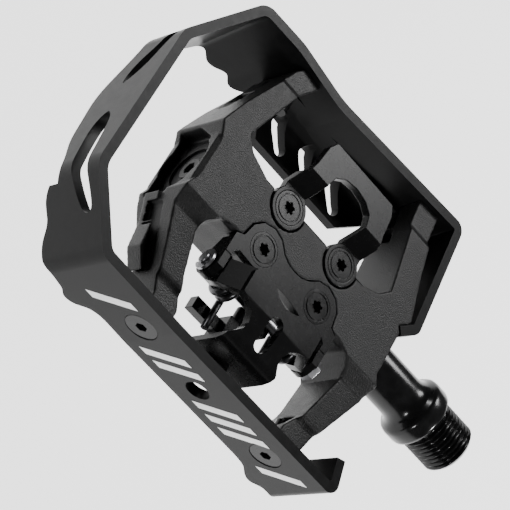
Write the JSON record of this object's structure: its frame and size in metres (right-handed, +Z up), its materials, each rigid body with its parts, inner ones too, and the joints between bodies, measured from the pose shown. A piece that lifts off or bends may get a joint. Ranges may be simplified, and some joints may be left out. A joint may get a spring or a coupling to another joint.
{
  "type": "clipless pedal",
  "caption": "Single-sided clipless bicycle pedal: open cage, sprung rear claw and fixed front claw on a body that turns on a left-hand threaded spindle.",
  "frame": {"origin": "centre of the spindle's shoulder face, where the pedal seats on the crank arm", "axes": "+X along the spindle out of the pedal towards the crank, +Y forwards towards the fixed claw, +Z up through the clipless face"},
  "size_m": [0.1235, 0.0794, 0.029],
  "materials": {
    "body_black": "fine-grained black anodised casting",
    "cage_black": "satin black anodised strip",
    "screw_black": "black oxide",
    "binding_black": "black phosphated pressed steel",
    "bright_steel": "bright plated steel",
    "spring_steel": "oiled spring steel",
    "spindle_black": "polished black chromium steel",
    "bearing_steel": "ground bearing steel",
    "retainer_black": "moulded polymer",
    "sleeve_grey": "filled polymer bearing sleeve",
    "seal_black": "matt rubber",
    "cap_black": "moulded polymer"
  },
  "bodies": {
    "spindle_set": {"spindle": "spindle_black", "bearing_inner_race": "bearing_steel", "spindle_washer": "bright_steel", "spindle_nut": "bright_steel"},
    "pedal_body": {"body": "body_black", "cage": "cage_black", "cage_screws": "screw_black", "cleat_plate": "binding_black", "cleat_plate_screws": "screw_black", "front_claw": "binding_black", "front_claw_screws": "screw_black", "claw_pivot_pin": "bright_steel", "pivot_clip": "bright_steel", "spring_inboard": "spring_steel", "spring_outboard": "spring_steel", "bearing_outer_race": "bearing_steel", "inboard_sleeve": "sleeve_grey", "dust_seal": "seal_black", "end_cap": "cap_black"},
    "ball_set": {"bearing_balls": "bearing_steel", "bearing_retainer": "retainer_black"},
    "jaw": {"rear_claw": "binding_black"},
    "bolt": {"tension_bolt": "screw_black"},
    "saddle_nut": {"tension_nut": "screw_black"}
  },
  "joints": [
    {"name": "body_spin", "type": "hinge", "parent": "spindle_set", "child": "pedal_body", "pos_m": [-0.056, 0, 0], "axis": [1, 0, 0], "continuous": true},
    {"name": "ball_set_spin", "type": "hinge", "parent": "spindle_set", "child": "ball_set", "pos_m": [-0.0772, 0, 0], "axis": [1, 0, 0], "continuous": true},
    {"name": "claw_pivot", "type": "hinge", "parent": "pedal_body", "child": "jaw", "pos_m": [-0.056, -0.0165, 0.005], "axis": [1, 0, 0], "range_deg": [0, 14], "stiffness_Nm_per_rad": 3, "springref_deg": -20.05, "deforming": ["spring_inboard", "spring_outboard"]},
    {"name": "tension_bolt_turn", "type": "hinge", "parent": "jaw", "child": "bolt", "pos_m": [-0.056, -0.0307, -0.0008], "axis": [0, 1, 0], "range_deg": [0, 1080]},
    {"name": "tension_nut_slide", "type": "slide", "parent": "jaw", "child": "saddle_nut", "axis": [0, -1, 0], "range_m": [0, 0.002]}
  ],
  "couplings": [
    {"joint": "ball_set_spin", "follows": "body_spin", "ratio": 0.585},
    {"joint": "tension_bolt_turn", "follows": "tension_nut_slide", "rad_per_m": 8976}
  ]
}
